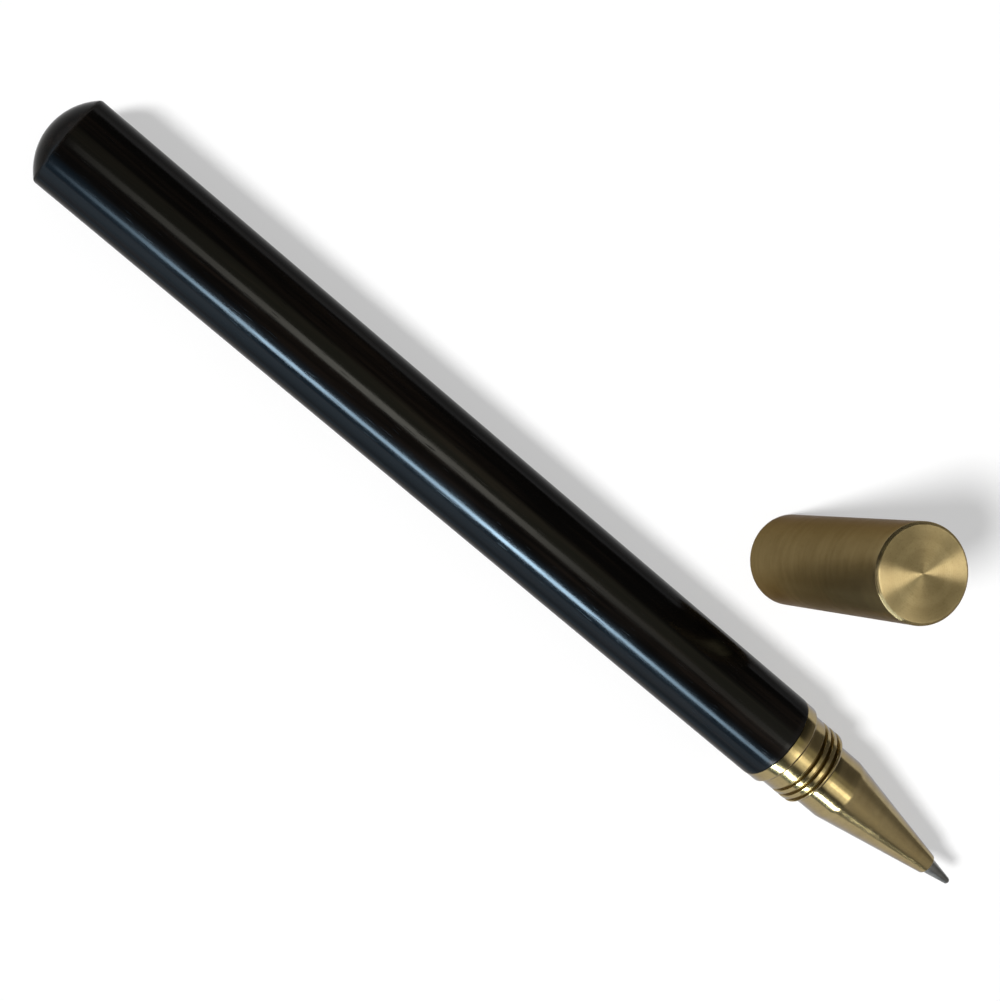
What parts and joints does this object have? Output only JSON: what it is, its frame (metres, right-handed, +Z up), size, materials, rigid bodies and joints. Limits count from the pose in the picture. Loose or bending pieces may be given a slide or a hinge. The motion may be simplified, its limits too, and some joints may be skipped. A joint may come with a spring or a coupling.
{
  "type": "wooden pen",
  "caption": "Dark wooden pen with a domed end, a polished brass threaded collar and conical nose, a refill with a steel point, and a brass screw cap standing beside it.",
  "frame": {"origin": "middle of the footprint of the lying pen and the standing cap, on the table that both rest on", "axes": "+X along the pen towards its point, +Z up from the table, +Y from the pen towards the cap"},
  "size_m": [0.1482, 0.0326, 0.0335],
  "materials": {
    "ebony": "polished, near black",
    "brass_tube": "drawn",
    "polished_brass": "turned and polished",
    "satin_brass": "turned, satin",
    "point_steel": "bright turned",
    "ball_carbide": "polished",
    "spring_steel": "drawn wire",
    "white_plastic": "moulded",
    "clear_plastic": "clear, extruded",
    "ink": "liquid",
    "grease": "soft"
  },
  "bodies": {
    "barrel": {"barrel": "ebony", "liner_tube": "brass_tube", "collar": "polished_brass", "tail_spring": "spring_steel"},
    "refill": {"point": "point_steel", "point_holder": "white_plastic", "ink_tube": "clear_plastic", "ink": "ink", "ink_follower": "grease", "tail_plug": "white_plastic"},
    "nose": {"nose_cone": "polished_brass"},
    "ball": {"writing_ball": "ball_carbide"},
    "cap": {"cap": "satin_brass"}
  },
  "joints": [
    {"name": "refill_slide", "type": "slide", "parent": "barrel", "child": "refill", "axis": [1, 0, 0], "range_m": [0, 0.0045], "deforming": ["tail_spring"]},
    {"name": "nose_turn", "type": "hinge", "parent": "refill", "child": "nose", "pos_m": [0.04868, -0.0103, 0.006], "axis": [1, 0, 0], "range_deg": [0, 2160]},
    {"name": "ball_roll", "type": "hinge", "parent": "refill", "child": "ball", "pos_m": [0.07372, -0.0103, 0.006], "axis": [0, 1, 0], "continuous": true},
    {"name": "cap_lift", "type": "slide", "parent": "barrel", "child": "cap", "axis": [0, 0, 1], "range_m": [0, 0.06]}
  ],
  "couplings": [
    {"joint": "nose_turn", "follows": "refill_slide", "rad_per_m": 8377.6}
  ]
}
